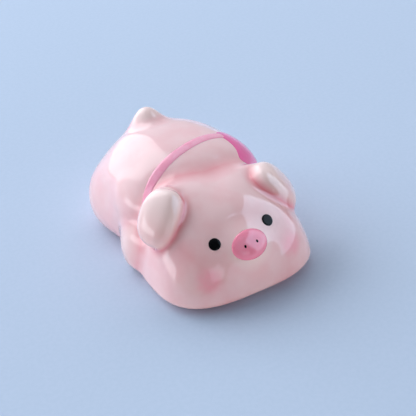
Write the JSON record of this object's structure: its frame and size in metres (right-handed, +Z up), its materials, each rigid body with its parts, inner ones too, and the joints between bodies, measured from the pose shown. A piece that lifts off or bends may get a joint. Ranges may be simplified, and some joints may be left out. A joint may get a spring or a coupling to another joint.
{
  "type": "pig figurine",
  "caption": "Small glazed ceramic piglet lying on its belly, with folded ears, a nub tail and a pink strap and pouch.",
  "frame": {"origin": "middle of the footprint, on the flat underside that rests on the table", "axes": "+Y from snout to rump, +X to the pig's left side, +Z up from the table"},
  "size_m": [0.0438, 0.0604, 0.0269],
  "materials": {
    "body_glaze": "gloss pale pink glaze",
    "cream_glaze": "gloss warm cream glaze",
    "snout_enamel": "gloss rose enamel",
    "black_enamel": "gloss black enamel",
    "strap_enamel": "gloss pink enamel",
    "pouch_enamel": "gloss deep pink enamel"
  },
  "bodies": {
    "root": {"torso": "body_glaze", "head": "body_glaze", "ear_left": "cream_glaze", "ear_right": "cream_glaze", "foreleg_left": "body_glaze", "foreleg_right": "body_glaze", "hindleg_left": "body_glaze", "hindleg_right": "body_glaze", "tail": "cream_glaze", "muzzle": "cream_glaze", "snout": "snout_enamel", "nostril_left": "black_enamel", "nostril_right": "black_enamel", "eye_left": "black_enamel", "eye_right": "black_enamel", "strap": "strap_enamel", "pouch": "pouch_enamel"}
  },
  "joints": []
}
